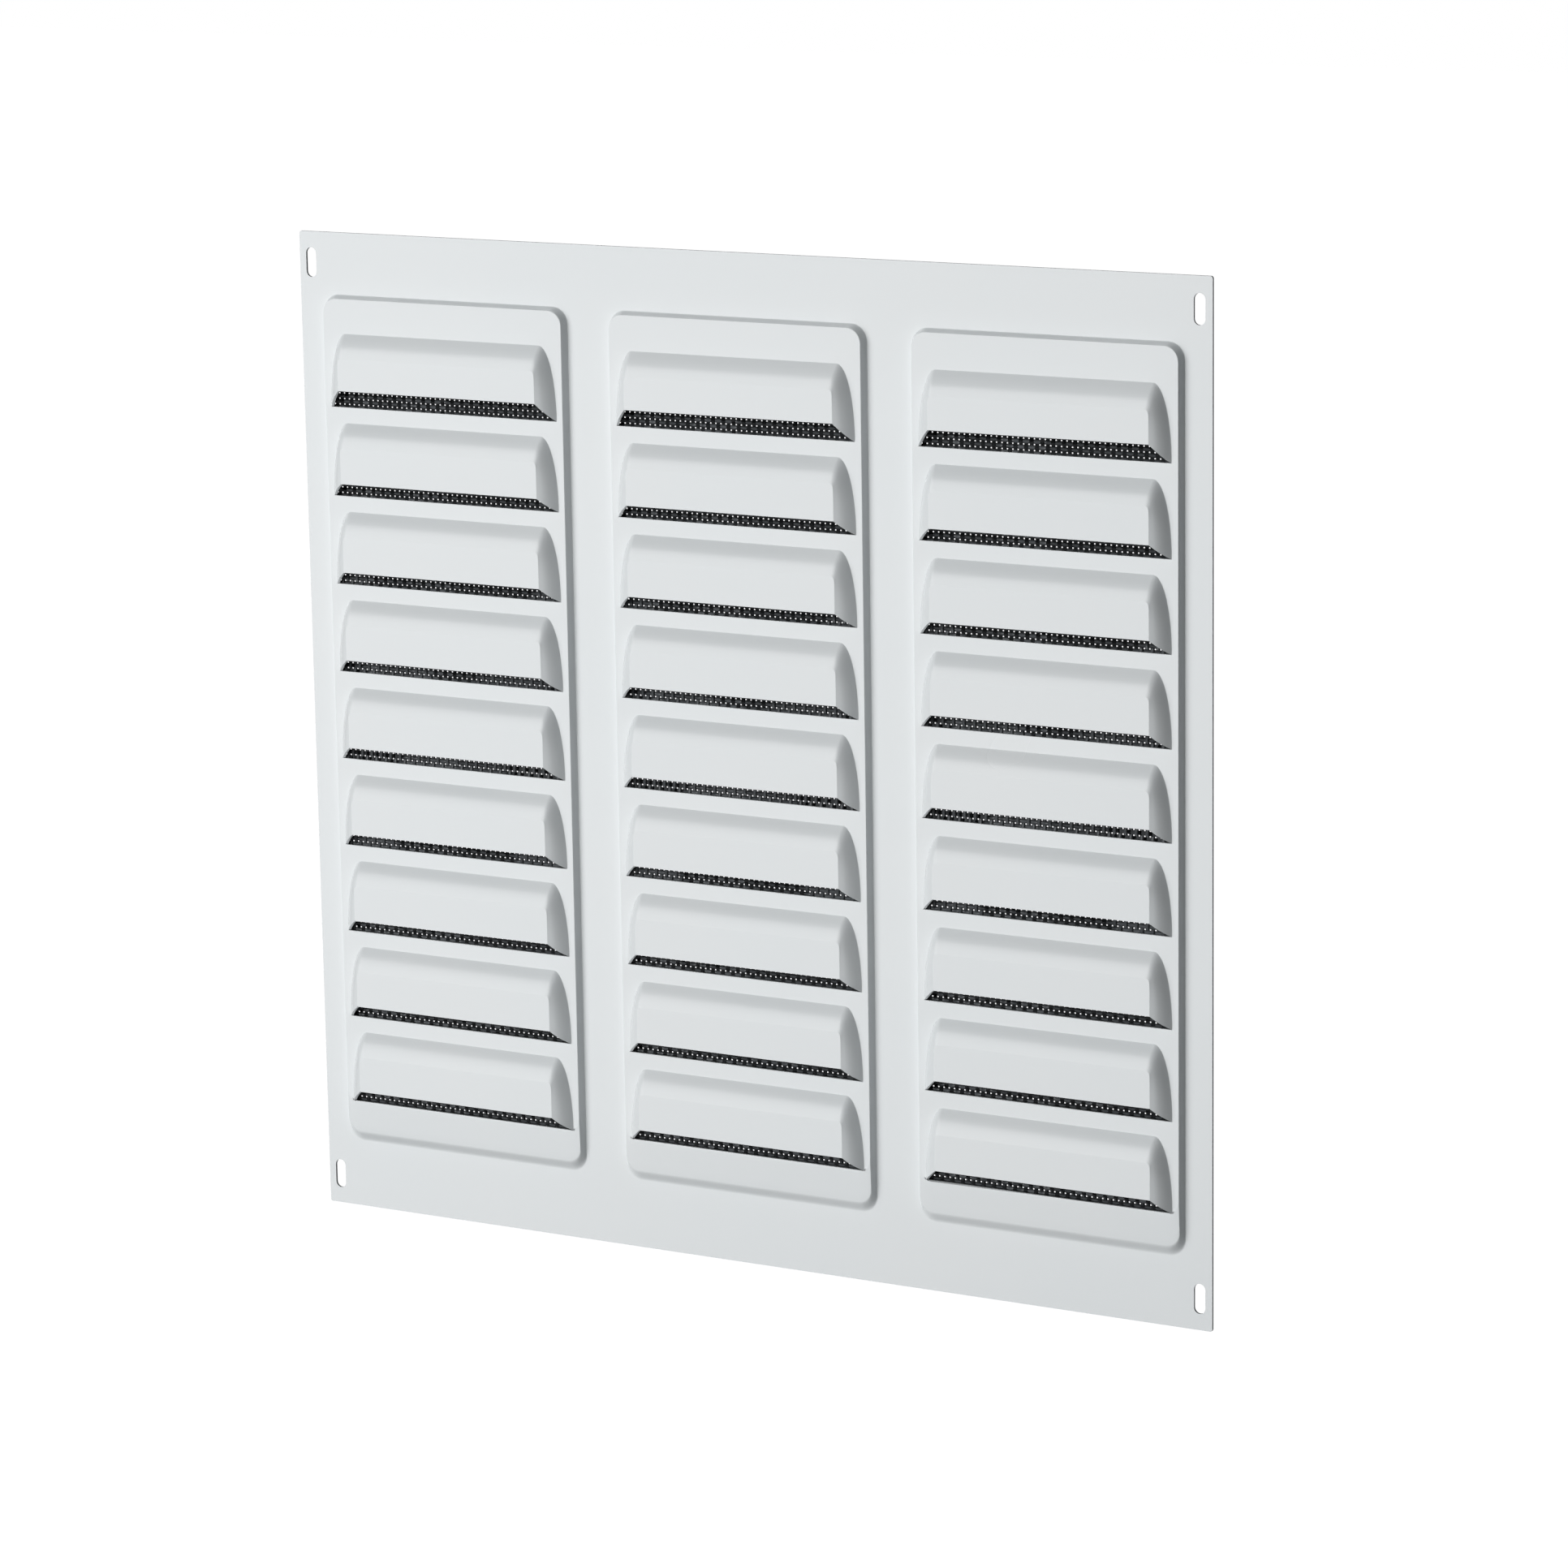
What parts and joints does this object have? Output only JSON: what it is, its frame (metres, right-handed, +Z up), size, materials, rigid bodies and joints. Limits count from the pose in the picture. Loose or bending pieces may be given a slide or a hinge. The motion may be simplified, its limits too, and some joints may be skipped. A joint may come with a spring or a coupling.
{
  "type": "mesh vent grille",
  "caption": "White pressed-steel vent grille with three raised panels of downward louvres, fine insect screens behind them and oval screw slots in the corners.",
  "frame": {"origin": "middle of the flange's flat back, on the wall plane", "axes": "+X across the grille to the viewer's right, +Z up, +Y out of the back into the wall; the louvres face -Y"},
  "size_m": [0.325, 0.0078, 0.325],
  "materials": {
    "white_paint": "satin",
    "grey_net": "matte",
    "clear_glue": "satin"
  },
  "bodies": {
    "root": {"louvre_plate": "white_paint", "insect_screen_left": "grey_net", "insect_screen_middle": "grey_net", "insect_screen_right": "grey_net", "screen_glue": "clear_glue"}
  },
  "joints": []
}
